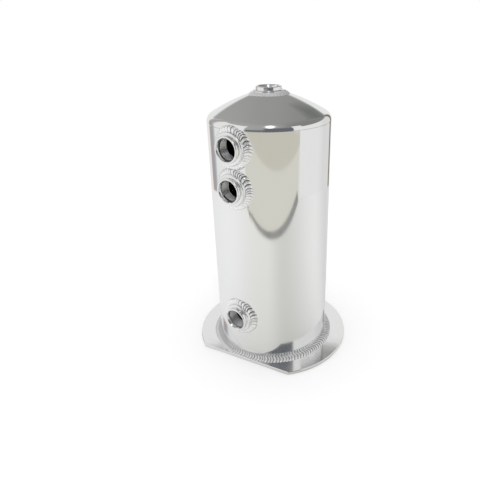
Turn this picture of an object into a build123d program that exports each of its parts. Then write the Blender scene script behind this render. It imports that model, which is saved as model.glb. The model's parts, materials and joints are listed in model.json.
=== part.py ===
from build123d import *
import os
from math import acos, cos, degrees, pi, radians, sin, sqrt

# Fuel surge tank: a round tube closed by a spun cone, welded to a base plate that has one flat.
# Four threaded bungs are welded in: one in the cone's tip and three in a line down the tube.
# Frame: origin on the tank's axis at the underside of the base plate, +Z up, -Y out of the flat.
# All lengths are millimetres and all angles are degrees.

# Tube
tube_diameter = 110.0
tube_wall = 3.0
tube_height = 220.0
seam_bevel = 0.3

# Base plate, which stands out past the tube by a ledge all round and by less at its flat
plate_ledge = 21.0
flat_ledge = 5.0
plate_thickness = 3.0
plate_edge = 0.4

# Spun cone: a knuckle at the rim, then a side that is crowned a little
cone_wall = 3.0
knuckle_radius = 7.5
knuckle_slope = 31.0
crown_radius = 170.0

# Threaded bung, built up outwards from its thread
thread_diameter = 17.5
mouth_flare = 1.1
mouth_depth = 2.4
face_land = 1.6
nose_height = 3.2
shoulder_width = 2.5
bung_length = 13.0
bung_edge = 0.5
hole_clearance = 0.05

# Where the bungs stand
port_turn = -6.5
port_standoff = 7.6
seam_land = 0.7
port_land = 7.0
lower_port_height = 43.4
top_bung_rise = 5.2

# Weld beads: reach along the sheet, rise up the wall, and the ripples of the filler rod
base_weld_reach = 7.0
base_weld_rise = 2.6
base_ripple_pitch = 2.9
bung_weld_reach = 5.0
bung_weld_rise = 3.4
top_weld_rise = 1.8
bung_ripple_pitch = 2.9
ripple_step = 0.45
bead_crown = 0.55
weld_root = 2.5
weld_gap = 0.02

# Derived sizes
tube_radius = tube_diameter / 2
plate_radius = tube_radius + plate_ledge
flat_from_axis = tube_radius + flat_ledge
seam_height = plate_thickness + tube_height
thread_radius = thread_diameter / 2
mouth_radius = thread_radius + mouth_flare
nose_radius = mouth_radius + face_land
bung_radius = nose_radius + shoulder_width
hole_radius = bung_radius + hole_clearance
upper_port_z = seam_height - seam_land - bung_radius
middle_port_z = upper_port_z - 2 * bung_radius - port_land
lower_port_z = plate_thickness + lower_port_height
port_heights = {"upper": upper_port_z, "middle": middle_port_z, "lower": lower_port_z}
upper_welds_meet_z = (upper_port_z + middle_port_z) / 2

# The cone's knuckle and crowned side are arcs that run into each other at this angle
join_angle = 90 - knuckle_slope
knuckle_centre = Vector(tube_radius - knuckle_radius, seam_height)
crown_centre = knuckle_centre + Vector(cos(radians(join_angle)), sin(radians(join_angle))) * (
    knuckle_radius - crown_radius
)


def crown_angle(radius, inset=0.0):
    """Angle on the crowned side where it stands this far from the tank's axis."""
    return degrees(acos((radius - crown_centre.X) / (crown_radius - inset)))


def cone_height(radius):
    """Height of the cone's outside at a radius on its crowned side."""
    return crown_centre.Y + crown_radius * sin(radians(crown_angle(radius)))


def cone_arcs(inset, end_radius):
    """The knuckle and the crowned side, moved inwards by inset, from the rim to end_radius."""
    end_angle = crown_angle(end_radius, inset)
    knuckle = CenterArc(knuckle_centre, knuckle_radius - inset, 0, join_angle)
    side = CenterArc(crown_centre, crown_radius - inset, join_angle, end_angle - join_angle)
    return knuckle, side


top_face_z = cone_height(bung_radius) + top_bung_rise


def turned_plane(angle, height=0.0):
    """Upright plane on the tank's axis, turned about it by angle: x is level and y points up."""
    turn = radians(angle)
    return Plane(origin=(0, 0, height), x_dir=(cos(turn), sin(turn), 0), z_dir=(sin(turn), -cos(turn), 0))


def port_plane(height):
    """Plane on the tank's axis whose z points out along the side port at this height."""
    return turned_plane(port_turn, height)


def bung_outline():
    """Half section of a bung: x is the radius, y runs along the axis with the front face at 0."""
    shoulder = -nose_height
    with BuildLine() as half_section:
        Polyline(
            (thread_radius, -bung_length),
            (bung_radius - bung_edge, -bung_length),
            (bung_radius, -bung_length + bung_edge),
            (bung_radius, shoulder - bung_edge),
            (bung_radius - bung_edge, shoulder),
            (nose_radius, shoulder),
            (nose_radius, -bung_edge),
            (nose_radius - bung_edge, 0),
            (mouth_radius, 0),
            (thread_radius, -mouth_depth),
            close=True,
        )
    make_face(half_section.edges())


def bead_outline(wall, foot, toe, reach, rise):
    """Section of a bead in the corner of a wall and a sheet: wall is the wall's radius, foot and toe are
    the sheet's heights at the wall and at the bead's edge. The corner is sunk, to be cut to fit."""
    toe_point = Vector(wall + reach, toe)
    top_point = Vector(wall, foot + rise)
    slope = top_point - toe_point
    swell = Vector(slope.Y, -slope.X).normalized() * bead_crown
    with BuildLine() as section:
        Polyline(
            top_point,
            (wall - weld_root, foot + rise),
            (wall - weld_root, foot - weld_root),
            (wall + reach, toe - weld_root),
            toe_point,
            toe_point + slope / 3 + swell,
            toe_point + slope * 2 / 3 + swell,
            close=True,
        )
    make_face(section.edges())


def ripple_count(radius, pitch):
    """Whole number of ripples around a bead."""
    return round(2 * pi * radius / pitch)


# Base plate: a disc with one flat, its top edges broken
with BuildPart() as base_plate:
    with BuildSketch():
        Circle(plate_radius)
        with Locations((0, -flat_from_axis)):
            Rectangle(2 * plate_radius, plate_radius, align=(Align.CENTER, Align.MAX), mode=Mode.SUBTRACT)
    extrude(amount=plate_thickness)
    chamfer(base_plate.faces().sort_by(Axis.Z)[-1].edges(), plate_edge)
base_plate.part.label = "base_plate"

# Tube: stands on the plate, is holed for the side bungs, and its rim is bevelled at the seam
with BuildPart() as tank_tube:
    with BuildSketch(Plane.XY.offset(plate_thickness)):
        Circle(tube_radius)
        Circle(tube_radius - tube_wall, mode=Mode.SUBTRACT)
    extrude(amount=tube_height)
    rim = tank_tube.faces().sort_by(Axis.Z)[-1]
    chamfer(rim.outer_wire().edges(), seam_bevel)
    for height in port_heights.values():
        with BuildSketch(port_plane(height)):
            Circle(hole_radius)
        extrude(amount=tube_diameter, mode=Mode.SUBTRACT)
tank_tube.part.label = "tank_tube"

# Cone: an even wall spun over the knuckle and the crowned side, open at its tip for the top bung
with BuildPart() as top_cone:
    with BuildSketch(Plane.XZ):
        with BuildLine():
            outer_knuckle, outer_side = cone_arcs(0.0, hole_radius)
            inner_knuckle, inner_side = cone_arcs(cone_wall, hole_radius)
            Line(outer_knuckle @ 0, inner_knuckle @ 0)
            Line(outer_side @ 1, inner_side @ 1)
        make_face()
    revolve(axis=Axis.Z)
    cone_foot = top_cone.faces().sort_by(Axis.Z)[0]
    chamfer(cone_foot.outer_wire().edges(), seam_bevel)
    with BuildSketch(port_plane(upper_port_z)):
        Circle(hole_radius)
    extrude(amount=tube_diameter, mode=Mode.SUBTRACT)
top_cone.part.label = "top_cone"

# Top bung: stands in the cone's tip
with BuildPart() as top_bung:
    with BuildSketch(Plane.XZ.shift_origin((0, 0, top_face_z))):
        bung_outline()
    revolve(axis=Axis.Z)
top_bung.part.label = "top_bung"

# Filled outside of the tube and the cone, a hair larger, which the beads are cut to fit
with BuildPart() as shell_outside:
    with BuildSketch(Plane.XZ):
        with BuildLine():
            fit_knuckle, fit_side = cone_arcs(-weld_gap, hole_radius)
            Polyline(
                fit_side @ 1,
                (0, (fit_side @ 1).Y),
                (0, 0),
                (tube_radius + weld_gap, 0),
                fit_knuckle @ 0,
            )
        make_face()
    revolve(axis=Axis.Z)

# Base weld: one ripple, cut to the tube and the plate, repeated around the tube's foot
# and trimmed where the plate's flat comes near
base_ripples = ripple_count(tube_radius + base_weld_reach / 2, base_ripple_pitch)
with BuildPart() as base_ripple:
    for step, angle in ((ripple_step, 0), (0.0, 360 / base_ripples)):
        with BuildSketch(turned_plane(angle)):
            bead_outline(
                tube_radius,
                plate_thickness,
                plate_thickness,
                base_weld_reach - step,
                base_weld_rise - step,
            )
    loft(ruled=True)
    add(shell_outside.part, mode=Mode.SUBTRACT)
    split(bisect_by=Plane.XY.offset(plate_thickness + weld_gap), keep=Keep.TOP)
with BuildPart() as base_weld_bead:
    with PolarLocations(0, base_ripples):
        add(base_ripple.part)
    split(bisect_by=Plane.XZ.offset(flat_from_axis), keep=Keep.BOTTOM)
base_weld_bead.part.label = "base_weld_bead"

# Top bung weld: the same ripples around the bung, on the slope of the cone
bung_ripples = ripple_count(bung_radius + bung_weld_reach / 2, bung_ripple_pitch)
with BuildPart() as top_ripple:
    for step, angle in ((ripple_step, 0), (0.0, 360 / bung_ripples)):
        reach = bung_weld_reach - step
        with BuildSketch(turned_plane(angle)):
            bead_outline(
                bung_radius,
                cone_height(bung_radius),
                cone_height(bung_radius + reach),
                reach,
                top_weld_rise - step,
            )
    loft(ruled=True)
    add(shell_outside.part, mode=Mode.SUBTRACT)
    with BuildSketch(Plane.XY.offset(seam_height)):
        Circle(bung_radius + weld_gap)
    extrude(amount=seam_height, mode=Mode.SUBTRACT)
with BuildPart() as top_bung_weld:
    with PolarLocations(0, bung_ripples):
        add(top_ripple.part)
top_bung_weld.part.label = "top_bung_weld"

os.makedirs("parts", exist_ok=True)
for piece in (base_plate, tank_tube, top_cone, top_bung, base_weld_bead, top_bung_weld):
    export_step(piece.part, f"parts/{piece.part.label}.step")


def saddle_height(across):
    """Distance of the tube's outside from its axis, along a port, this far to the port's side."""
    return sqrt(tube_radius**2 - across**2)


# Ring of ripples that follows the tube's curve around a side bung, at the height of the origin
outwards = port_plane(0)
with BuildPart() as saddle_ripples:
    ripples = []
    for ripple in range(bung_ripples):
        for step, place in ((ripple_step, ripple), (0.0, ripple + 1)):
            turn = 2 * pi * place / bung_ripples
            reach = bung_weld_reach - step
            sideways = outwards.x_dir * cos(turn) + outwards.y_dir * sin(turn)
            across = sideways.cross(outwards.z_dir)
            with BuildSketch(Plane(origin=outwards.origin, x_dir=sideways, z_dir=across)):
                bead_outline(
                    bung_radius,
                    saddle_height(bung_radius * cos(turn)),
                    saddle_height((bung_radius + reach) * cos(turn)),
                    reach,
                    bung_weld_rise - step,
                )
        ripples.append(loft(ruled=True, mode=Mode.PRIVATE))
    add(ripples)

# Side bungs, each with its weld; the upper two welds run into each other between their bungs
for port, height in port_heights.items():
    outwards = port_plane(height)
    face_centre = outwards.origin + outwards.z_dir * (tube_radius + port_standoff)

    with BuildPart() as port_bung:
        with BuildSketch(Plane(origin=face_centre, x_dir=outwards.x_dir, z_dir=-outwards.y_dir)):
            bung_outline()
        revolve(axis=Axis(outwards.origin, outwards.z_dir))
    port_bung.part.label = f"{port}_port_bung"

    with BuildPart() as port_weld:
        with Locations((0, 0, height)):
            add(saddle_ripples.part)
        add(shell_outside.part, mode=Mode.SUBTRACT)
        with BuildSketch(outwards):
            Circle(bung_radius + weld_gap)
        extrude(amount=tube_diameter, mode=Mode.SUBTRACT)
        if port == "upper":
            split(bisect_by=Plane.XY.offset(upper_welds_meet_z + weld_gap / 2), keep=Keep.TOP)
        if port == "middle":
            split(bisect_by=Plane.XY.offset(upper_welds_meet_z - weld_gap / 2), keep=Keep.BOTTOM)
    port_weld.part.label = f"{port}_port_weld"

    for piece in (port_bung, port_weld):
        export_step(piece.part, f"parts/{piece.part.label}.step")
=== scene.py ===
"""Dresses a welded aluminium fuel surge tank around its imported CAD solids."""

import bisect
import json
import math
import random
from typing import Callable, NamedTuple

import bpy
from mathutils import Matrix, Vector


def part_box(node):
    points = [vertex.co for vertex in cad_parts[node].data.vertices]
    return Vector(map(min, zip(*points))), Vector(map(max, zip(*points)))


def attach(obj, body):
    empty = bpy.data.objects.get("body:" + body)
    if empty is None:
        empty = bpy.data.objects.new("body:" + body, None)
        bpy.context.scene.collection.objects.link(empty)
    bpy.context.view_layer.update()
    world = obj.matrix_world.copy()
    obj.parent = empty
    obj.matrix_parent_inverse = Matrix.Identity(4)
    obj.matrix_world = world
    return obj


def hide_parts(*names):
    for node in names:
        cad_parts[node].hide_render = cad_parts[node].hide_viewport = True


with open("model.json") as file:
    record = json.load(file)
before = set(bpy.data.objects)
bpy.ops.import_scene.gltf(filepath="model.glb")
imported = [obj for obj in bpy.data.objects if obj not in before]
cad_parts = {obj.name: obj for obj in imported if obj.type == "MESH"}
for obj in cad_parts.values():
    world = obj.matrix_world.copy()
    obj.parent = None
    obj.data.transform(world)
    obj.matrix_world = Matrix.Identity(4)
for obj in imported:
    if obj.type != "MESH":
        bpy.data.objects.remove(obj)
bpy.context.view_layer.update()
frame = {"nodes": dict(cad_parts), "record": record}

bl_info = {
    "name": "Fuel surge tank",
    "version": (1, 0, 0),
    "blender": (4, 5, 0),
    "location": "View3D > Sidebar > Tank",
    "description": "Turned bungs, weld beads, polished sheet and the studio of a fuel surge tank",
    "category": "Object",
}

MM = 0.001
NODES = frame["nodes"]
MOUNTS = {mount["name"]: mount for mount in frame["record"]["mounts"]}
PORTS = ("top", "upper", "middle", "lower")

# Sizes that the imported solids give
TUBE_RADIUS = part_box("tank_tube")[1].x
PLATE_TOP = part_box("base_plate")[1].z
FLAT_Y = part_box("base_plate")[0].y
BUNG_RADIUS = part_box("top_bung")[1].x
BUNG_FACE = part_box("top_bung")[1].z
BUNG_LENGTH = BUNG_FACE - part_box("top_bung")[0].z
SEAT_DEPTH = BUNG_FACE - MOUNTS["top_port"]["pos_m"][2]
THREAD_RADIUS = MOUNTS["top_port"]["dims"]["r_mm"] * MM
BASE_WELD_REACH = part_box("base_weld_bead")[1].x - TUBE_RADIUS
BASE_WELD_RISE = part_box("base_weld_bead")[1].z - PLATE_TOP
BUNG_WELD_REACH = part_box("top_bung_weld")[1].x - BUNG_RADIUS

# Fineness of the meshes
BUNG_SEGMENTS = 96
THREAD_STEPS = 40
RIPPLE_COLUMNS = 12
BEAD_ROWS = 15

# Angles from which an edge is rounded, or stays sharp when it is shaded
ROUNDED_EDGE = math.radians(20)
BUNG_SHARP_EDGE = math.radians(32)
BEAD_SHARP_EDGE = math.radians(70)

# Small distances: doubles that merge, overlap of a cutter, play between pieces, and how far a bead
# stays from the hole under its bung and from the plate's flat
MERGE_DISTANCE = 1e-6
CUT_OVERLAP = 0.05 * MM
PLAY = 0.02 * MM
HOLE_MARGIN = 0.12 * MM
FLAT_MARGIN = 0.45 * MM

# Half of the thread ridge's foot as a share of its pitch, and the turn from one bung to the next
RIDGE_HALF = 0.47
BUNG_TURN = 1.9

# Waves along a bead: how many, how often each goes round, their sizes, and what they sway
WAVES = 5
WAVE_ROUNDS = (2, 9)
WAVE_SIZES = (0.2, 1)
WAVE_SHARE = 0.35
EDGE_REACH = 0.93
EDGE_SWAY = 0.25

# Ripples of a bead: spread of their heights, lean, fullness and mean height of their dome, the
# height that is left where the painted shade of the valleys is pale, and how they fade towards
# the bead's edges
HEIGHT_SPREAD = 1.5
DOME_LEAN = 0.7
DOME_FULLNESS = 0.7
DOME_MEAN = 0.75
PALE_RIPPLE = 0.4
EDGE_RIPPLE = 0.3
EDGE_RIPPLE_GAIN = 1.4
TANGENT_STEP = 0.001

# Painted shade in the valleys, as a share of the darkest: all along the base weld, and at least
# around a bung, whose bead has its darkest painted shade and is highest at one share of a turn
BASE_PAINTED_SHADE = 0.75
BUNG_LEAST_PAINTED_SHADE = 0.25
BUNG_LEAST_RISE = 0.5
DARKEST_SHARE = 0.11

# The top bung's bead is flatter, by this share of the crown
TOP_CROWN = 0.4

# Seeds of the base weld and of the first bung's weld
BASE_SEED = 3
BUNG_SEED = 11

# Range of most values of a noise texture
NOISE_LOW = 0.3
NOISE_HIGH = 0.7

# Depths of the fine patterns in the metal
SHEET_WAVE = 0.03 * MM
BUFFING_DEPTH = 0.0012 * MM
TOOL_MARK_DEPTH = 0.006 * MM
GRAIN_DEPTH = 0.02 * MM

# Share of the haze's height up to which the tube's foot is fully hazy
HAZE_FULL = 0.25

# Added roughness in a bung's bore and in a bead's valleys, and the depth where the latter starts
BORE_DULLNESS = 0.2
VALLEY_DULLNESS = 0.12
VALLEY_DULL_FROM = 0.2

# Painted shade as shares of the metal's colour: at a bore's mouth and inside it, and along the
# depth of a valley
BORE_PAINTED_SHADES = ((0, 1.0), (1, 0.62))
VALLEY_PAINTED_SHADES = ((0.12, 1.0), (0.6, 0.1))


def length(name, description, default):
    """A size in metres for a property group."""
    return bpy.props.FloatProperty(
        name=name, description=description, default=default, unit="LENGTH", precision=5
    )


def amount(name, description, default):
    """A plain share from nothing to all."""
    return bpy.props.FloatProperty(
        name=name, description=description, default=default, min=0, max=1, subtype="FACTOR"
    )


def colour(name, description, default):
    """A colour for a property group."""
    return bpy.props.FloatVectorProperty(
        name=name, description=description, default=default, size=3, min=0, max=1, subtype="COLOR"
    )


class BungSizes(bpy.types.PropertyGroup):
    """Sizes of a turned bung."""

    nose_radius: length("Nose radius", "Outer radius of the raised nose", 11.45 * MM)
    nose_height: length("Nose height", "Height of the nose over the shoulder", 3.2 * MM)
    mouth_radius: length("Mouth radius", "Outer radius of the seat cone", 9.85 * MM)
    edge: length("Edge", "Chamfer of the turned edges", 0.5 * MM)
    softness: length("Softness", "Rounding left on each edge", 0.14 * MM)
    thread_pitch: length("Thread pitch", "Step of the inner thread", 1.5875 * MM)
    thread_depth: length("Thread depth", "Depth of the inner thread", 0.78 * MM)


class BeadSizes(bpy.types.PropertyGroup):
    """Sizes of the weld beads."""

    base_pitch: length("Base ripple pitch", "Ripple step of the base weld", 2.9 * MM)
    base_ripple: length("Base ripple", "Height of a ripple of the base weld", 0.8 * MM)
    bung_pitch: length("Bung ripple pitch", "Ripple step of the bung welds", 2.9 * MM)
    bung_ripple: length("Bung ripple", "Height of a ripple of the bung welds", 0.42 * MM)
    bung_rise: length("Bung bead rise", "Height of a bead on a side bung's wall", 3.4 * MM)
    top_rise: length("Top bead rise", "Height of the bead on the top bung's wall", 1.8 * MM)
    crown: length("Crown", "Bulge of the bead's face", 0.8 * MM)
    curl: amount("Curl", "Bow of each ripple along the bead, in ripples", 0.55)
    base_uneven: amount("Base unevenness", "How much the base weld's ripples differ", 0.2)
    bung_uneven: amount("Bung unevenness", "How much the bung welds' ripples differ", 0.45)


class Finish(bpy.types.PropertyGroup):
    """Colours and polish of the metal."""

    sheet_colour: colour("Sheet", "Polished sheet metal", (0.87, 0.875, 0.875))
    bung_colour: colour("Bung", "Turned metal", (0.86, 0.865, 0.87))
    bead_colour: colour("Bead", "Weld metal", (0.90, 0.905, 0.91))
    tube_polish: amount("Tube polish", "Roughness of the polished tube", 0.06)
    plate_polish: amount("Plate polish", "Roughness of the base plate", 0.09)
    bung_polish: amount("Bung polish", "Roughness of the turned metal", 0.13)
    bead_polish: amount("Bead polish", "Roughness of the weld metal", 0.16)
    bead_shine: amount("Bead shine", "Mirror share of the weld metal, the rest is matt", 0.68)


class Studio(bpy.types.PropertyGroup):
    """Floor, surroundings and light."""

    floor_colour: colour("Floor", "White sheet under the tank", (0.93, 0.93, 0.93))
    near_table: colour("Near table", "Table in front of the sheet", (0.71, 0.70, 0.63))
    far_table: colour("Far table", "Table further away", (0.61, 0.585, 0.51))
    wall_colour: colour("Wall", "White wall around the back and the sides", (0.85, 0.85, 0.84))
    ceiling_colour: colour("Ceiling", "Grey ceiling over the studio", (0.33, 0.33, 0.32))
    room_colour: colour("Room", "Dark room behind the camera", (0.14, 0.15, 0.17))
    lamp_power: bpy.props.FloatProperty(
        name="Lamp", description="Power of the soft lamp", default=0.8, unit="POWER"
    )


def deselect():
    """Leaves edit mode and selects nothing."""
    if bpy.context.object and bpy.context.object.mode != "OBJECT":
        bpy.ops.object.mode_set(mode="OBJECT")
    bpy.ops.object.select_all(action="DESELECT")


def pick(obj):
    """Makes one object the selected and active one."""
    deselect()
    obj.select_set(True)
    bpy.context.view_layer.objects.active = obj


def apply_modifier(obj, kind, **settings):
    """Adds a modifier with the settings given and applies it."""
    pick(obj)
    modifier = obj.modifiers.new(kind.title(), kind)
    for name, value in settings.items():
        setattr(modifier, name, value)
    bpy.ops.object.modifier_apply(modifier=modifier.name)


def clean_mesh(obj):
    """Merges doubles and turns the faces outwards."""
    pick(obj)
    bpy.ops.object.mode_set(mode="EDIT")
    bpy.ops.mesh.select_all(action="SELECT")
    bpy.ops.mesh.remove_doubles(threshold=MERGE_DISTANCE)
    bpy.ops.mesh.normals_make_consistent(inside=False)
    bpy.ops.object.mode_set(mode="OBJECT")


def finish_piece(obj, node, material):
    """Gives a piece its finish and lets it stand for its CAD node."""
    obj.data.materials.clear()
    obj.data.materials.append(material)
    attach(obj, "root")
    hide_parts(node)


def lathe(name, rings, segments):
    """A closed ring of revolution, extruded from circle to circle along (radius, height) pairs."""
    deselect()
    radius, height = rings[0]
    bpy.ops.mesh.primitive_circle_add(vertices=segments, radius=radius, location=(0, 0, height))
    obj = bpy.context.object
    obj.name = obj.data.name = name
    bpy.ops.object.transform_apply()
    bpy.ops.object.mode_set(mode="EDIT")
    for next_radius, next_height in rings[1:]:
        bpy.ops.mesh.extrude_region_move(
            TRANSFORM_OT_translate={"value": (0, 0, next_height - height)}
        )
        scale = next_radius / radius
        bpy.ops.transform.resize(value=(scale, scale, 1), center_override=(0, 0, next_height))
        radius, height = next_radius, next_height
    bpy.ops.mesh.select_all(action="DESELECT")
    bpy.ops.mesh.select_non_manifold()
    bpy.ops.mesh.bridge_edge_loops()
    bpy.ops.object.mode_set(mode="OBJECT")
    clean_mesh(obj)
    return obj


def thread_cutter(sizes):
    """A helical ridge with a V section that cuts the thread into a bore along Z, up to its seat."""
    deselect()
    bpy.ops.mesh.primitive_circle_add(vertices=3, radius=sizes.thread_depth)
    cutter = bpy.context.object
    half = RIDGE_HALF * sizes.thread_pitch
    inner = THREAD_RADIUS - CUT_OVERLAP
    below = -BUNG_LENGTH - 2 * sizes.thread_pitch
    turns = math.floor((-SEAT_DEPTH - half - below) / sizes.thread_pitch)
    section = (
        (inner, 0, below - half),
        (inner, 0, below + half),
        (THREAD_RADIUS + sizes.thread_depth, 0, below),
    )
    for vertex, place in zip(cutter.data.vertices, section):
        vertex.co = place
    apply_modifier(
        cutter,
        "SCREW",
        axis="Z",
        angle=2 * math.pi,
        screw_offset=sizes.thread_pitch,
        iterations=turns,
        steps=THREAD_STEPS,
        render_steps=THREAD_STEPS,
    )
    bpy.ops.object.mode_set(mode="EDIT")
    bpy.ops.mesh.select_all(action="DESELECT")
    bpy.ops.mesh.select_non_manifold()
    bpy.ops.mesh.fill_holes(sides=4)
    bpy.ops.object.mode_set(mode="OBJECT")
    clean_mesh(cutter)
    return cutter


def turned_bung(sizes):
    """One bung along Z with its face at zero and a thread cut into its bore."""
    shoulder = -sizes.nose_height
    bung = lathe(
        "bung",
        [
            (THREAD_RADIUS, -BUNG_LENGTH),
            (BUNG_RADIUS - sizes.edge, -BUNG_LENGTH),
            (BUNG_RADIUS, -BUNG_LENGTH + sizes.edge),
            (BUNG_RADIUS, shoulder - sizes.edge),
            (BUNG_RADIUS - sizes.edge, shoulder),
            (sizes.nose_radius, shoulder),
            (sizes.nose_radius, -sizes.edge),
            (sizes.nose_radius - sizes.edge, 0),
            (sizes.mouth_radius, 0),
            (THREAD_RADIUS, -SEAT_DEPTH),
        ],
        BUNG_SEGMENTS,
    )
    apply_modifier(
        bung,
        "BEVEL",
        width=sizes.softness,
        segments=2,
        limit_method="ANGLE",
        angle_limit=ROUNDED_EDGE,
    )
    cutter = thread_cutter(sizes)
    apply_modifier(bung, "BOOLEAN", operation="DIFFERENCE", solver="EXACT", object=cutter)
    bpy.data.objects.remove(cutter)
    clean_mesh(bung)
    lathe_marks = bung.data.attributes.new("lathe", "FLOAT", "POINT")
    # The bore below the seat is marked for painted shade
    bore = bung.data.attributes.new("bore", "FLOAT", "POINT")
    for vertex, mark, inside in zip(bung.data.vertices, lathe_marks.data, bore.data):
        radius = math.hypot(vertex.co.x, vertex.co.y)
        mark.value = radius - vertex.co.z
        inside.value = radius < sizes.mouth_radius and vertex.co.z < -SEAT_DEPTH - CUT_OVERLAP
    pick(bung)
    bpy.ops.object.shade_smooth_by_angle(angle=BUNG_SHARP_EDGE)
    return bung


def port_place(port):
    """Where a port's face is, as a matrix whose Z axis points out of the tank."""
    mount = MOUNTS[f"{port}_port"]
    axis = Vector(mount["axis"])
    face = Vector(mount["pos_m"]) + axis * SEAT_DEPTH
    up = Vector((0, 0, 1)) if abs(axis.z) < 0.5 else Vector((0, 1, 0))
    across = up.cross(axis).normalized()
    turn = Matrix((across, axis.cross(across), axis)).transposed().to_4x4()
    return Matrix.Translation(face) @ turn


def on_shell(start, direction):
    """The first point of the tube or the cone that a line from outside meets."""
    hits = []
    for node in ("tank_tube", "top_cone"):
        hit, place = NODES[node].ray_cast(start, direction)[:2]
        if hit:
            hits.append(place)
    if not hits:
        raise RuntimeError("the line misses the tank's shell")
    return min(hits, key=lambda place: (place - start).length)


class BeadPath(NamedTuple):
    """Lines of a bead, as functions of the share of its length: the corner that it fills, its toe
    on the sheet, its top on the wall, and how dark the painted shade of its valleys is."""

    corner: Callable
    toe: Callable
    top: Callable
    shade: Callable


def base_path():
    """The path around the foot of the tube, which stays on the plate at its flat."""
    wall = TUBE_RADIUS + PLAY
    floor = PLATE_TOP + PLAY
    edge = -FLAT_Y - FLAT_MARGIN

    def around(share, radius, height):
        turn = 2 * math.pi * share
        forward = -math.cos(turn)
        if -forward * radius > edge:
            radius = edge / -forward
        return Vector((math.sin(turn) * radius, forward * radius, height))

    return BeadPath(
        corner=lambda share: around(share, wall, floor),
        toe=lambda share: around(share, TUBE_RADIUS + BASE_WELD_REACH, floor),
        top=lambda share: around(share, wall, PLATE_TOP + BASE_WELD_RISE),
        shade=lambda share: BASE_PAINTED_SHADE,
    )


def bung_painted_shade(share):
    """How dark the painted shade in the valleys around a bung is, darkest on one side."""
    facing = max(0, math.cos(2 * math.pi * (share - DARKEST_SHARE)))
    return BUNG_LEAST_PAINTED_SHADE + (1 - BUNG_LEAST_PAINTED_SHADE) * facing ** 2


def bung_path(place, rise):
    """The path around a bung, along the tube or the cone that the bung stands in."""
    axis = place.to_3x3() @ Vector((0, 0, 1))
    wall = BUNG_RADIUS + PLAY

    def on_sheet(share, radius, height):
        turn = 2 * math.pi * share
        reach = max(radius, BUNG_RADIUS + HOLE_MARGIN)
        ring = Vector((math.cos(turn), math.sin(turn), 0))
        sheet = on_shell(place @ (ring * reach), -axis)
        depth = (place.inverted() @ sheet).z
        return place @ (ring * radius + Vector((0, 0, depth + height)))

    def rise_at(share):
        return rise * (BUNG_LEAST_RISE + (1 - BUNG_LEAST_RISE) * bung_painted_shade(share))

    return BeadPath(
        corner=lambda share: on_sheet(share, wall, PLAY),
        toe=lambda share: on_sheet(share, BUNG_RADIUS + BUNG_WELD_REACH, PLAY),
        top=lambda share: on_sheet(share, wall, rise_at(share)),
        shade=bung_painted_shade,
    )


def ripple_steps(count, unevenness, dice):
    """Where each ripple starts, as shares of the bead's length, and each ripple's height."""
    widths = [1 + unevenness * dice.uniform(-1, 1) for _ in range(count)]
    total = sum(widths)
    starts = [0]
    for width in widths:
        starts.append(starts[-1] + width / total)
    heights = [1 + HEIGHT_SPREAD * unevenness * dice.uniform(-1, 1) for _ in range(count)]
    return starts, heights


def weld_bead(name, path, count, ripple, crown, unevenness, curl, seed):
    """A closed bead of as many ripples as counted, along a path."""
    dice = random.Random(seed)
    starts, heights = ripple_steps(count, unevenness, dice)
    waves = [
        (dice.randint(*WAVE_ROUNDS), dice.uniform(0, 2 * math.pi), dice.uniform(*WAVE_SIZES))
        for _ in range(WAVES)
    ]

    def sway(share):
        """How far the slow waves push the bead out at a share of its length."""
        total = sum(
            size * math.sin(2 * math.pi * rounds * share + start) for rounds, start, size in waves
        )
        return WAVE_SHARE * unevenness * total

    def ripple_at(share, up):
        """Dome of the ripple at a place, from nothing in its valley to one, and its height."""
        bow = curl * (1 - (2 * up - 1) ** 2) / count
        place = (share - bow) % 1
        index = min(bisect.bisect_right(starts, place), count) - 1
        part = (place - starts[index]) / (starts[index + 1] - starts[index])
        dome = math.sin(math.pi * min(1, part) ** DOME_LEAN) ** DOME_FULLNESS
        return dome, heights[index]

    columns = count * RIPPLE_COLUMNS
    deselect()
    bpy.ops.mesh.primitive_grid_add(x_subdivisions=columns, y_subdivisions=BEAD_ROWS + 2, size=1)
    bead = bpy.context.object
    bead.name = bead.data.name = name
    ring = []
    for column in range(columns + 1):
        share = (column % columns) / columns
        uneven, depth = sway(share), path.shade(share)
        reach = min(1, EDGE_REACH + EDGE_SWAY * uneven)
        corner = path.corner(share)
        toe = corner + (path.toe(share) - corner) * reach
        top = corner + (path.top(share) - corner) * reach
        ahead, behind = (share + TANGENT_STEP) % 1, (share - TANGENT_STEP) % 1
        chord = top - toe
        outwards = chord.cross(path.corner(ahead) - path.corner(behind)).normalized()
        if outwards.dot((toe + top) / 2 - corner) < 0:
            outwards.negate()
        swell = ripple * (PALE_RIPPLE + (1 - PALE_RIPPLE) * depth)
        row = [(corner, 1)]
        for step in range(BEAD_ROWS + 1):
            up = step / BEAD_ROWS
            dome, height = ripple_at(share, up)
            bulge = 4 * up * (1 - up)
            fade = min(1, EDGE_RIPPLE + EDGE_RIPPLE_GAIN * bulge)
            lift = crown * bulge * (1 + uneven) + swell * height * (dome - DOME_MEAN) * fade
            # Each point keeps how much painted shade darkens it, most in the valleys between ripples
            row.append((toe + chord * up + outwards * lift, depth * (1 - dome)))
        row.append((corner, 1))
        ring.append(row)
    points = [point for level in zip(*ring) for point in level]
    bead.data.vertices.foreach_set("co", [number for place, _ in points for number in place])
    valleys = bead.data.attributes.new("valley", "FLOAT", "POINT")
    valleys.data.foreach_set("value", [valley for _, valley in points])
    clean_mesh(bead)
    pick(bead)
    bpy.ops.object.shade_smooth_by_angle(angle=BEAD_SHARP_EDGE)
    return bead


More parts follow.
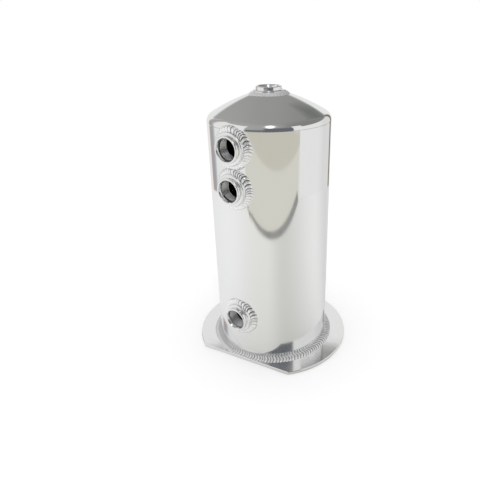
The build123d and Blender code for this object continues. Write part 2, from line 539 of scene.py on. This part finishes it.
class Shader:
    """A metal material whose patterns are built node by node."""

    def __init__(self, name, metal, roughness):
        self.material = bpy.data.materials.new(name)
        self.material.use_nodes = True
        self.tree = self.material.node_tree
        self.shader = self.tree.nodes["Principled BSDF"]
        self.shader.inputs["Base Color"].default_value = (*metal, 1)
        self.shader.inputs["Metallic"].default_value = 1
        self.shader.inputs["Roughness"].default_value = roughness

    def connect(self, socket, value):
        """Links an output to an input, or sets the input to a value."""
        if isinstance(value, bpy.types.NodeSocket):
            self.tree.links.new(value, socket)
        else:
            socket.default_value = value

    def node(self, kind, inputs=None, **settings):
        """Adds a node, sets it up and links or sets its inputs."""
        node = self.tree.nodes.new(kind)
        for name, value in settings.items():
            setattr(node, name, value)
        for name, value in (inputs or {}).items():
            self.connect(node.inputs[name], value)
        return node

    def noise(self, stretch, scale, detail, rough=0.5):
        """Noise on Object coordinates, stretched along the axes."""
        coords = self.node("ShaderNodeTexCoord").outputs["Object"]
        mapped = self.node("ShaderNodeMapping", {"Vector": coords, "Scale": stretch}).outputs[0]
        return self.node(
            "ShaderNodeTexNoise",
            {"Vector": mapped, "Scale": scale, "Detail": detail, "Roughness": rough},
        ).outputs[0]

    def spread(self, value, low, high, to_low, to_high):
        """Maps a value from one range to another."""
        inputs = {"Value": value, "From Min": low, "From Max": high}
        inputs.update({"To Min": to_low, "To Max": to_high})
        return self.node("ShaderNodeMapRange", inputs).outputs[0]

    def vary(self, noise, value, least, most):
        """Varies a value with a noise, from its least share to its most."""
        return self.spread(noise, NOISE_LOW, NOISE_HIGH, value * least, value * most)

    def calculate(self, operation, first, second):
        """One sum on sockets or numbers."""
        node = self.node("ShaderNodeMath", operation=operation)
        self.connect(node.inputs[0], first)
        self.connect(node.inputs[1], second)
        return node.outputs[0]

    def bump(self, height, distance, below=None):
        """A bump of the height given in metres, over another one if there is one."""
        inputs = {"Height": height, "Distance": distance, "Strength": 1.0}
        if below is not None:
            inputs["Normal"] = below
        return self.node("ShaderNodeBump", inputs).outputs[0]

    def darken(self, value, metal, shades):
        """The metal's colour along a value, by shares of it at two places."""
        node = self.node("ShaderNodeValToRGB", {"Fac": value})
        for element, (position, share) in zip(node.color_ramp.elements, shades):
            element.position = position
            element.color = (*[channel * share for channel in metal], 1)
        return node.outputs["Color"]

    def set(self, socket, value):
        """Links a value to the shader."""
        self.tree.links.new(value, self.shader.inputs[socket])


def polished_sheet(name, metal, roughness, streaks, haze=0.0, haze_top=0.0):
    """Mirror polish with a faint wave in the sheet and soft buffing streaks along one direction.
    Haze is the roughness added at the foot, which ends at its top."""
    sheet = Shader(name, metal, roughness)
    buffing = sheet.noise(streaks, scale=1.0, detail=4.0, rough=0.6)
    value = sheet.vary(buffing, roughness, least=0.7, most=1.35)
    if haze:
        coords = sheet.node("ShaderNodeTexCoord").outputs["Object"]
        height = sheet.node("ShaderNodeSeparateXYZ", {"Vector": coords}).outputs["Z"]
        dull = sheet.spread(height, haze_top * HAZE_FULL, haze_top, haze, 0.0)
        value = sheet.calculate("ADD", value, dull)
    sheet.set("Roughness", value)
    wave = sheet.bump(sheet.noise((1, 1, 0.6), scale=28.0, detail=1.0), SHEET_WAVE)
    sheet.set("Normal", sheet.bump(buffing, BUFFING_DEPTH, wave))
    return sheet.material


def turned_metal(name, metal, roughness):
    """Bright turned metal with the fine rings that the tool leaves, and painted shade that darkens
    its bore.
    """
    turned = Shader(name, metal, roughness)
    marks = turned.node("ShaderNodeAttribute", attribute_name="lathe").outputs["Fac"]
    rings = turned.node(
        "ShaderNodeTexNoise", {"W": marks, "Scale": 5200.0, "Detail": 2.0}, noise_dimensions="1D"
    ).outputs[0]
    bore = turned.node("ShaderNodeAttribute", attribute_name="bore").outputs["Fac"]
    polish = turned.vary(rings, roughness, least=0.75, most=1.35)
    dull = turned.spread(bore, 0, 1, 0.0, BORE_DULLNESS)
    turned.set("Roughness", turned.calculate("ADD", polish, dull))
    # Painted shade darkens the bore
    turned.set("Base Color", turned.darken(bore, metal, BORE_PAINTED_SHADES))
    turned.set("Normal", turned.bump(rings, TOOL_MARK_DEPTH))
    return turned.material


def bead_metal(finish):
    """Weld metal as it froze, with bright ripples, rougher valleys and a fine grain, and painted
    shade that darkens the valleys.
    """
    metal, roughness = tuple(finish.bead_colour), finish.bead_polish
    bead = Shader("bead_metal", metal, roughness)
    bead.shader.inputs["Metallic"].default_value = finish.bead_shine
    valley = bead.node("ShaderNodeAttribute", attribute_name="valley").outputs["Fac"]
    grain = bead.noise((1, 1, 1), scale=900.0, detail=3.0, rough=0.6)
    dull = bead.spread(valley, VALLEY_DULL_FROM, 1.0, 0.0, VALLEY_DULLNESS)
    polish = bead.vary(grain, roughness, least=0.75, most=1.3)
    bead.set("Roughness", bead.calculate("ADD", polish, dull))
    # Painted shade darkens the valleys
    bead.set("Base Color", bead.darken(valley, metal, VALLEY_PAINTED_SHADES))
    bead.set("Normal", bead.bump(grain, GRAIN_DEPTH))
    return bead.material


class TANK_OT_polish_sheet(bpy.types.Operator):
    """Give the base plate, the tube and the cone their polish"""

    bl_idname = "tank.polish_sheet"
    bl_label = "Polish Sheet Metal"

    def execute(self, context):
        finish = context.scene.tank_finish
        metal = tuple(finish.sheet_colour)
        tube, plate = finish.tube_polish, finish.plate_polish
        finishes = {
            "tank_tube": polished_sheet(
                "polished_tube", metal, tube, streaks=(160, 160, 5), haze=0.07, haze_top=0.15
            ),
            "top_cone": polished_sheet("polished_cone", metal, tube, streaks=(90, 90, 90)),
            "base_plate": polished_sheet("polished_plate", metal, plate, streaks=(40, 160, 40)),
        }
        for node, material in finishes.items():
            slots = NODES[node].data.materials
            slots.clear()
            slots.append(material)
        return {"FINISHED"}


class TANK_OT_turn_bungs(bpy.types.Operator):
    """Turn one threaded bung and set a copy into each port"""

    bl_idname = "tank.turn_bungs"
    bl_label = "Turn Bungs"

    def execute(self, context):
        finish = context.scene.tank_finish
        metal = turned_metal("turned_bung", tuple(finish.bung_colour), finish.bung_polish)
        pattern = turned_bung(context.scene.tank_bung)
        for number, port in enumerate(PORTS):
            node = "top_bung" if port == "top" else f"{port}_port_bung"
            pick(pattern)
            bpy.ops.object.duplicate()
            bung = context.object
            bung.name = bung.data.name = f"{node}_turned"
            bung.matrix_world = port_place(port) @ Matrix.Rotation(number * BUNG_TURN, 4, "Z")
            bpy.ops.object.transform_apply()
            finish_piece(bung, node, metal)
        bpy.data.objects.remove(pattern)
        return {"FINISHED"}


class TANK_OT_lay_base_weld(bpy.types.Operator):
    """Lay the rippled bead around the foot of the tube"""

    bl_idname = "tank.lay_base_weld"
    bl_label = "Lay Base Weld"

    def execute(self, context):
        sizes, finish = context.scene.tank_bead, context.scene.tank_finish
        count = round(2 * math.pi * (TUBE_RADIUS + BASE_WELD_REACH / 2) / sizes.base_pitch)
        bead = weld_bead(
            "base_weld_rippled",
            base_path(),
            count,
            sizes.base_ripple,
            sizes.crown,
            sizes.base_uneven,
            sizes.curl,
            BASE_SEED,
        )
        finish_piece(bead, "base_weld_bead", bead_metal(finish))
        return {"FINISHED"}


class TANK_OT_lay_bung_welds(bpy.types.Operator):
    """Lay a rippled bead around each bung, on the tube or on the cone"""

    bl_idname = "tank.lay_bung_welds"
    bl_label = "Lay Bung Welds"

    def execute(self, context):
        sizes, finish = context.scene.tank_bead, context.scene.tank_finish
        metal = bpy.data.materials.get("bead_metal") or bead_metal(finish)
        count = round(2 * math.pi * (BUNG_RADIUS + BUNG_WELD_REACH / 2) / sizes.bung_pitch)
        meeting = (MOUNTS["upper_port"]["pos_m"][2] + MOUNTS["middle_port"]["pos_m"][2]) / 2
        for number, port in enumerate(PORTS):
            node = "top_bung_weld" if port == "top" else f"{port}_port_weld"
            rise, crown = sizes.bung_rise, sizes.crown
            if port == "top":
                rise, crown = sizes.top_rise, TOP_CROWN * sizes.crown
            bead = weld_bead(
                f"{node}_rippled",
                bung_path(port_place(port), rise),
                count,
                sizes.bung_ripple,
                crown,
                sizes.bung_uneven,
                sizes.curl,
                BUNG_SEED + number,
            )
            for vertex in bead.data.vertices:
                if port == "upper":
                    vertex.co.z = max(vertex.co.z, meeting)
                elif port == "middle":
                    vertex.co.z = min(vertex.co.z, meeting)
            finish_piece(bead, node, metal)
        return {"FINISHED"}


# The camera, found from the photograph's own edges: its turn in degrees, place in metres, pitch,
# yaw and roll in radians, lens and sensor in millimetres, and shift in shares of the frame
CAMERA_TURN = 28.0
CAMERA_DISTANCE = 0.4027
CAMERA_HEIGHT = 0.2978
CAMERA_PITCH = 0.4181
CAMERA_YAW = 0.0072
CAMERA_ROLL = -0.0158
CAMERA_LENS = 33.773
CAMERA_SENSOR = 36
CAMERA_SHIFT = (-0.0710, -0.0286)
CAMERA_CLIP = 0.01

# Edges of the mirrored room, each as a start and an end: sines of a height, then degrees
ROOM_ACROSS = (-0.7, 0.7)
CEILING_BACK = (0.30, 0.42)
CEILING_FRONT = (0.08, 0.24)
ROOM_LEFT = (-48, -42)
ROOM_RIGHT = (56, 50)

# Brightness of the ceiling's left and right, of its middle
CEILING_LEFT = 1.25
CEILING_RIGHT = 0.72

# The floor, with its glow for the camera and its painted shade, which only reflections show,
# along the turn in degrees
FLOOR_RADIUS = 6
FLOOR_SEGMENTS = 96
FLOOR_GLOW = 0.09
FLOOR_SHADES = (
    (-180, (0.80, 0.80, 0.80)),
    (-90, (0.90, 0.90, 0.90)),
    (-12, (0.78, 0.78, 0.75)),
    (20, (0.65, 0.655, 0.625)),
    (88, (0.85, 0.85, 0.84)),
    (130, (0.70, 0.70, 0.70)),
    (180, (0.80, 0.80, 0.80)),
)

# The mirrored wall, with the turns in degrees between which it is tall or open
WALL_RADIUS = 0.5
WALL_HEIGHT = 0.42
WALL_TALL_HEIGHT = 0.70
WALL_SEGMENTS = 120
WALL_TALL = (-135, 0)
WALL_OPEN = (-44, 53)
WALL_RIGHT_SHARE = 0.89
WARM_GAP = (0.22, 0.18, 0.14)

# Step in height between the cards that lie on the floor, and how fast a round spot fades
CARD_STEP = 0.002
SPOT_FALL = 2.2

# The lamp, in the camera's directions
LAMP_PLACE = (0.02, 0.59, 0.82)
LAMP_AIM = (0, 0.05, 0.226)
LAMP_SIZE = (0.16, 0.45)


def camera_matrix():
    """Place and turn of the camera, looking down at the tank from its front right."""
    forward = Vector((
        math.sin(CAMERA_YAW) * math.cos(CAMERA_PITCH),
        math.cos(CAMERA_YAW) * math.cos(CAMERA_PITCH),
        -math.sin(CAMERA_PITCH),
    ))
    right = Vector((math.cos(CAMERA_YAW), -math.sin(CAMERA_YAW), 0))
    up = right.cross(forward)
    tilt_right = right * math.cos(CAMERA_ROLL) + up * math.sin(CAMERA_ROLL)
    tilt_up = up * math.cos(CAMERA_ROLL) - right * math.sin(CAMERA_ROLL)
    turn = Matrix((tilt_right, tilt_up, -forward)).transposed().to_4x4()
    place = Matrix.Translation((0, -CAMERA_DISTANCE, CAMERA_HEIGHT)) @ turn
    return Matrix.Rotation(math.radians(CAMERA_TURN), 4, "Z") @ place


def towards_camera(across, nearer, height):
    """A point of the studio: across to the camera's right, nearer to the camera, up."""
    return Matrix.Rotation(math.radians(CAMERA_TURN), 3, "Z") @ Vector((across, -nearer, height))


def turn_of(place):
    """The turn of a place from the camera's direction to its right, in degrees."""
    right, nearer = place.dot(towards_camera(1, 0, 0)), place.dot(towards_camera(0, 1, 0))
    return math.degrees(math.atan2(right, nearer))


def turn_share(degrees):
    """A turn from the camera's direction to its right, as the share that a bearing gives."""
    return 0.5 + degrees / 360


class Surroundings(Shader):
    """A world, floor or card material with the directions of the studio."""

    def __init__(self, owner):
        self.material = owner
        owner.use_nodes = True
        self.tree = owner.node_tree

    def along(self, coords, direction):
        """How far a direction or place goes along another direction."""
        node = self.node("ShaderNodeVectorMath", {0: coords, 1: direction}, operation="DOT_PRODUCT")
        return node.outputs["Value"]

    def bearing(self, coords):
        """The turn around the tank as a share, from the back over the left, the camera and the
        right to the back again."""
        right = self.along(coords, towards_camera(1, 0, 0))
        nearer = self.along(coords, towards_camera(0, 1, 0))
        turn = self.calculate("ARCTAN2", right, nearer)
        return self.spread(turn, -math.pi, math.pi, 0, 1)

    def ramp(self, value, stops, way="EASE"):
        """A row of colours along a value."""
        node = self.node("ShaderNodeValToRGB", {"Fac": value})
        node.color_ramp.interpolation = way
        while len(node.color_ramp.elements) < len(stops):
            node.color_ramp.elements.new(1)
        for element, (position, shade) in zip(node.color_ramp.elements, stops):
            element.position = position
            element.color = (*shade, 1)
        return node.outputs["Color"]

    def mix(self, factor, first, second):
        """One colour or another."""
        node = self.node("ShaderNodeMix", {"Factor": factor}, data_type="RGBA")
        for name, value in (("A", first), ("B", second)):
            is_output = isinstance(value, bpy.types.NodeSocket)
            self.connect(node.inputs[name], value if is_output else (*value, 1))
        return node.outputs["Result"]

    def glow(self, shade, strength=1.0, cover=None):
        """A surface that gives out its own colour, see-through where its cover is nothing."""
        surface = self.node("ShaderNodeEmission", {"Color": shade, "Strength": strength}).outputs[0]
        if cover is not None:
            clear = self.node("ShaderNodeBsdfTransparent").outputs[0]
            surface = self.node("ShaderNodeMixShader", {0: cover, 1: clear, 2: surface}).outputs[0]
        self.tree.links.new(surface, self.tree.nodes["Material Output"].inputs["Surface"])

    def fade(self, width, round_spot):
        """Cover that fades towards a card's edges, or from the middle of a round spot."""
        place = self.node("ShaderNodeTexCoord").outputs["UV"]
        if round_spot:
            spread = self.node(
                "ShaderNodeVectorMath", {0: place, 1: (0.5, 0.5, 0)}, operation="DISTANCE"
            ).outputs["Value"]
            near = self.spread(spread, 0.5, 0.5 - width, 0, 1)
            return self.calculate("POWER", near, SPOT_FALL)
        parts = self.node("ShaderNodeSeparateXYZ", {"Vector": place})
        sides = []
        for name in ("X", "Y"):
            along = parts.outputs[name]
            far_side = self.calculate("SUBTRACT", 1.0, along)
            sides.append(self.calculate("MINIMUM", along, far_side))
        return self.spread(self.calculate("MINIMUM", *sides), 0, width, 0, 1)


def mirrored_only(obj):
    """Marks a part of the studio that only reflections show."""
    obj.visible_camera = False
    obj.visible_diffuse = False
    obj.visible_shadow = False


def lying(height, *places):
    """Corners of a card that lies level, from four places across and nearer."""
    return [(*place, height) for place in places]


def upright(start, end, bottom, top):
    """Corners of an upright card between two places across and nearer."""
    return [(*start, bottom), (*end, bottom), (*end, top), (*start, top)]


def leaning(left, right, low, high):
    """Corners of a card that leans, between two edges that are each given as nearer and height."""
    return [(left, *low), (right, *low), (right, *high), (left, *high)]


def card(name, corners, shade, strength=1.0, soft=0.0, round_spot=False):
    """A flat card that only reflections show, with its corners in order."""
    deselect()
    bpy.ops.mesh.primitive_grid_add(x_subdivisions=1, y_subdivisions=1, size=1)
    sheet = bpy.context.object
    sheet.name = sheet.data.name = name
    first, second, third, fourth = corners
    for vertex, place in zip(sheet.data.vertices, (first, second, fourth, third)):
        vertex.co = towards_camera(*place)
    paint = Surroundings(bpy.data.materials.new(name))
    paint.glow((*shade, 1), strength, paint.fade(soft, round_spot) if soft else None)
    sheet.data.materials.append(paint.material)
    mirrored_only(sheet)


def studio_world(studio):
    """Even white light, with a grey ceiling and a dark room in front where metal mirrors them."""
    world = bpy.data.worlds.new("studio")
    bpy.context.scene.world = world
    sky = Surroundings(world)
    coords = sky.node("ShaderNodeTexCoord").outputs["Generated"]
    height = sky.along(coords, (0, 0, 1))
    ceiling, room = tuple(studio.ceiling_colour), tuple(studio.room_colour)
    wall = tuple(studio.wall_colour)
    across = sky.spread(sky.along(coords, towards_camera(1, 0, 0)), *ROOM_ACROSS, 0, 1)
    overhead = sky.ramp(across, [
        (0, [CEILING_LEFT * channel for channel in ceiling]),
        (0.5, ceiling),
        (1, [CEILING_RIGHT * channel for channel in ceiling]),
    ])
    back = sky.mix(sky.spread(height, *CEILING_BACK, 0, 1), wall, overhead)
    front = sky.mix(sky.spread(height, *CEILING_FRONT, 0, 1), room, overhead)
    bearing = sky.bearing(coords)
    left, right = (
        sky.spread(bearing, turn_share(start), turn_share(end), 0, 1)
        for start, end in (ROOM_LEFT, ROOM_RIGHT)
    )
    surroundings = sky.mix(sky.calculate("MINIMUM", left, right), back, front)
    path = sky.node("ShaderNodeLightPath")
    shown = sky.mix(path.outputs["Is Glossy Ray"], (1, 1, 1), surroundings)
    background = sky.tree.nodes["Background"]
    sky.tree.links.new(shown, background.inputs["Color"])
    background.inputs["Strength"].default_value = 1


def studio_floor(studio):
    """A wide white floor that keeps the tank's shadow, and is less lit where metal mirrors it."""
    deselect()
    bpy.ops.mesh.primitive_circle_add(
        vertices=FLOOR_SEGMENTS, radius=FLOOR_RADIUS, fill_type="NGON"
    )
    floor = bpy.context.object
    floor.name = floor.data.name = "studio_floor"
    bpy.ops.object.mode_set(mode="EDIT")
    bpy.ops.mesh.select_all(action="SELECT")
    bpy.ops.mesh.inset(thickness=0.5)
    bpy.ops.object.mode_set(mode="OBJECT")
    paint = Surroundings(bpy.data.materials.new("white_sheet"))
    tree = paint.tree
    shader = tree.nodes["Principled BSDF"]
    shader.inputs["Roughness"].default_value = 1
    shader.inputs["Specular IOR Level"].default_value = 0
    bearing = paint.bearing(paint.node("ShaderNodeTexCoord").outputs["Object"])
    # Painted shade that only reflections show, darkest towards the camera
    mirrored = paint.ramp(bearing, [(turn_share(turn), shade) for turn, shade in FLOOR_SHADES])
    path = paint.node("ShaderNodeLightPath")
    shade = paint.mix(path.outputs["Is Glossy Ray"], tuple(studio.floor_colour), mirrored)
    tree.links.new(shade, shader.inputs["Base Color"])
    glow = paint.calculate("MULTIPLY", path.outputs["Is Camera Ray"], FLOOR_GLOW)
    lift = paint.node("ShaderNodeEmission", {"Strength": glow})
    both = paint.node("ShaderNodeAddShader", {0: shader.outputs[0], 1: lift.outputs[0]})
    tree.links.new(both.outputs[0], tree.nodes["Material Output"].inputs["Surface"])
    floor.data.materials.append(paint.material)


def studio_wall(studio):
    """A low white wall around the back and sides, with dark gaps, that only reflections show."""
    deselect()
    bpy.ops.mesh.primitive_cylinder_add(
        vertices=WALL_SEGMENTS,
        radius=WALL_RADIUS,
        depth=WALL_HEIGHT,
        location=(0, 0, WALL_HEIGHT / 2),
        end_fill_type="NOTHING",
    )
    wall = bpy.context.object
    wall.name = wall.data.name = "studio_wall"
    bpy.ops.object.transform_apply()
    bpy.ops.object.mode_set(mode="EDIT")
    bpy.ops.mesh.select_mode(type="FACE")
    bpy.ops.mesh.select_all(action="DESELECT")
    bpy.ops.object.mode_set(mode="OBJECT")
    for vertex in wall.data.vertices:
        if vertex.co.z > WALL_HEIGHT / 2 and WALL_TALL[0] < turn_of(vertex.co) < WALL_TALL[1]:
            vertex.co.z = WALL_TALL_HEIGHT
    for face in wall.data.polygons:
        face.select = WALL_OPEN[0] < turn_of(face.center) < WALL_OPEN[1]
    bpy.ops.object.mode_set(mode="EDIT")
    bpy.ops.mesh.delete(type="FACE")
    bpy.ops.mesh.select_mode(type="VERT")
    bpy.ops.object.mode_set(mode="OBJECT")
    paint = Surroundings(bpy.data.materials.new("studio_wall"))
    bearing = paint.bearing(paint.node("ShaderNodeTexCoord").outputs["Object"])
    white = tuple(studio.wall_colour)
    right_white = [WALL_RIGHT_SHARE * channel for channel in white]
    shades = (
        (-135, white),
        (-132, (0.46, 0.38, 0.35)),
        (-124, (0.44, 0.38, 0.36)),
        (-121, (0.36, 0.39, 0.44)),
        (-115, (0.50, 0.52, 0.56)),
        (-110, white),
        (95, white),
        (112, right_white),
        (137, right_white),
        (140, WARM_GAP),
        (147, WARM_GAP),
        (150, white),
    )
    stops = [(turn_share(turn), shade) for turn, shade in shades]
    paint.glow(paint.ramp(bearing, stops, "LINEAR"))
    wall.data.materials.append(paint.material)
    mirrored_only(wall)


def studio_cards(studio):
    """Tables, dark parts of the room, a painted shadow at the sheet's edge and glowing cards that
    paint the lamp's highlight, around the tank, in the camera's directions.
    """
    card(
        "near_table",
        lying(CARD_STEP, (-1.2, 0.34), (0.36, 0.312), (1.9, 1.33), (-1.9, 1.33)),
        tuple(studio.near_table),
    )
    card(
        "far_table",
        lying(2 * CARD_STEP, (-0.75, 0.85), (0.75, 0.52), (2.6, 1.8), (-2.4, 1.8)),
        tuple(studio.far_table),
    )
    # Painted shadow: a dark strip along the sheet's edge, which only reflections show
    card(
        "sheet_edge_shadow",
        lying(3 * CARD_STEP, (-0.30, 0.333), (0.36, 0.297), (0.39, 0.345), (-0.30, 0.343)),
        (0.30, 0.30, 0.29),
    )
    card(
        "dark_front",
        upright((-0.10, 0.5), (0.46, 0.5), bottom=0.24, top=0.49),
        tuple(studio.room_colour),
        soft=0.08,
    )
    card(
        "dark_back",
        upright((0.45, -0.42), (0.22, -0.58), bottom=0.38, top=0.95),
        (0.18, 0.19, 0.18),
        soft=0.4,
    )
    # Painted highlight: glowing cards, no lamps, that reflections show in place of the lamp, a
    # bright spot with a dimmer haze around it
    card(
        "painted_softbox_highlight",
        leaning(-0.15, 0.19, low=(0.86, 0.52), high=(0.34, 1.13)),
        (1, 1, 1),
        strength=4.0,
        soft=0.48,
        round_spot=True,
    )
    card(
        "painted_highlight_haze",
        leaning(-0.62, 0.66, low=(1.30, 0.26), high=(0.06, 1.54)),
        (0.46, 0.46, 0.45),
        soft=0.48,
        round_spot=True,
    )
    card(
        "white_wing",
        upright((0.328, 0.377), (0.433, 0.25), bottom=0.13, top=0.55),
        tuple(studio.wall_colour),
    )


class TANK_OT_set_stage(bpy.types.Operator):
    """Set the camera, the floor, the surroundings and the lamp"""

    bl_idname = "tank.set_stage"
    bl_label = "Set Stage"

    def execute(self, context):
        scene = context.scene
        studio = scene.tank_studio
        scene.view_settings.view_transform = "Standard"
        deselect()
        bpy.ops.object.camera_add()
        camera = context.object
        camera.matrix_world = camera_matrix()
        camera.data.sensor_width = CAMERA_SENSOR
        camera.data.lens = CAMERA_LENS
        camera.data.shift_x, camera.data.shift_y = CAMERA_SHIFT
        camera.data.clip_start = CAMERA_CLIP
        scene.camera = camera
        studio_world(studio)
        studio_floor(studio)
        studio_wall(studio)
        studio_cards(studio)
        place, aim = towards_camera(*LAMP_PLACE), towards_camera(*LAMP_AIM)
        bpy.ops.object.light_add(type="AREA", location=place)
        lamp = context.object
        lamp.rotation_euler = (aim - place).to_track_quat("-Z", "Y").to_euler()
        lamp.data.shape = "RECTANGLE"
        lamp.data.size, lamp.data.size_y = LAMP_SIZE
        lamp.data.energy = studio.lamp_power
        # Reflections show the painted highlight of the softbox card instead of the lamp
        lamp.visible_glossy = False
        return {"FINISHED"}


OPERATORS = (
    TANK_OT_set_stage,
    TANK_OT_polish_sheet,
    TANK_OT_turn_bungs,
    TANK_OT_lay_base_weld,
    TANK_OT_lay_bung_welds,
)
GROUPS = {
    "tank_bung": BungSizes,
    "tank_bead": BeadSizes,
    "tank_finish": Finish,
    "tank_studio": Studio,
}


class TANK_PT_panel(bpy.types.Panel):
    """Lists the steps that dress the tank"""

    bl_idname = "TANK_PT_panel"
    bl_label = "Fuel Surge Tank"
    bl_space_type = "VIEW_3D"
    bl_region_type = "UI"
    bl_category = "Tank"

    def draw(self, context):
        for operator in OPERATORS:
            self.layout.operator(operator.bl_idname)
        for group in GROUPS:
            values = getattr(context.scene, group)
            for name in values.__annotations__:
                self.layout.prop(values, name)


def register():
    """Registers the classes and hangs the settings on the scene."""
    for group, kind in GROUPS.items():
        bpy.utils.register_class(kind)
        setattr(bpy.types.Scene, group, bpy.props.PointerProperty(type=kind))
    for kind in (*OPERATORS, TANK_PT_panel):
        bpy.utils.register_class(kind)


def unregister():
    """Takes everything off again."""
    for kind in (TANK_PT_panel, *reversed(OPERATORS)):
        bpy.utils.unregister_class(kind)
    for group, kind in GROUPS.items():
        delattr(bpy.types.Scene, group)
        bpy.utils.unregister_class(kind)


def main():
    """Dresses the tank step by step."""
    register()
    bpy.ops.tank.set_stage()
    bpy.ops.tank.polish_sheet()
    bpy.ops.tank.turn_bungs()
    bpy.ops.tank.lay_base_weld()
    bpy.ops.tank.lay_bung_welds()


if __name__ == "__main__":
    main()
